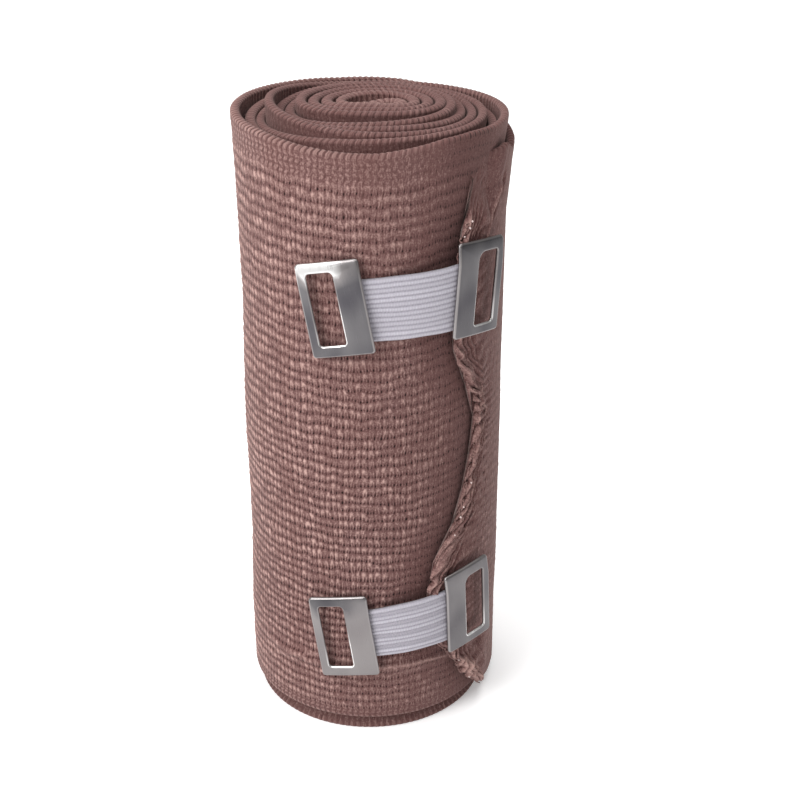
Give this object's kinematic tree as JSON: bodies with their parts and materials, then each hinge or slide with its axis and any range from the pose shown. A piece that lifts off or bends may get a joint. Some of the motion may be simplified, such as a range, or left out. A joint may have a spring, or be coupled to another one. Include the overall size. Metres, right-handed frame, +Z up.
{
  "type": "crepe bandage roll",
  "caption": "Wide crepe bandage wound into a roll, stood on end, its loose end held down by elastic clips with slotted steel ends.",
  "frame": {"origin": "on the floor, in the middle of the part's width and depth", "axes": "+Z up along the roll's axis; the clips' elastics lie between -Y and +X, in front and to the right of the front"},
  "size_m": [0.0666, 0.0658, 0.1529],
  "materials": {
    "crepe": "dusty rose-brown crepe, matte",
    "elastic": "white ribbed elastic, matte",
    "steel": "stamped and lightly brushed"
  },
  "bodies": {
    "root": {"bandage_roll": "crepe", "upper_elastic": "elastic", "lower_elastic": "elastic", "clip_upper_left": "steel", "clip_upper_right": "steel", "clip_lower_left": "steel", "clip_lower_right": "steel"}
  },
  "joints": []
}
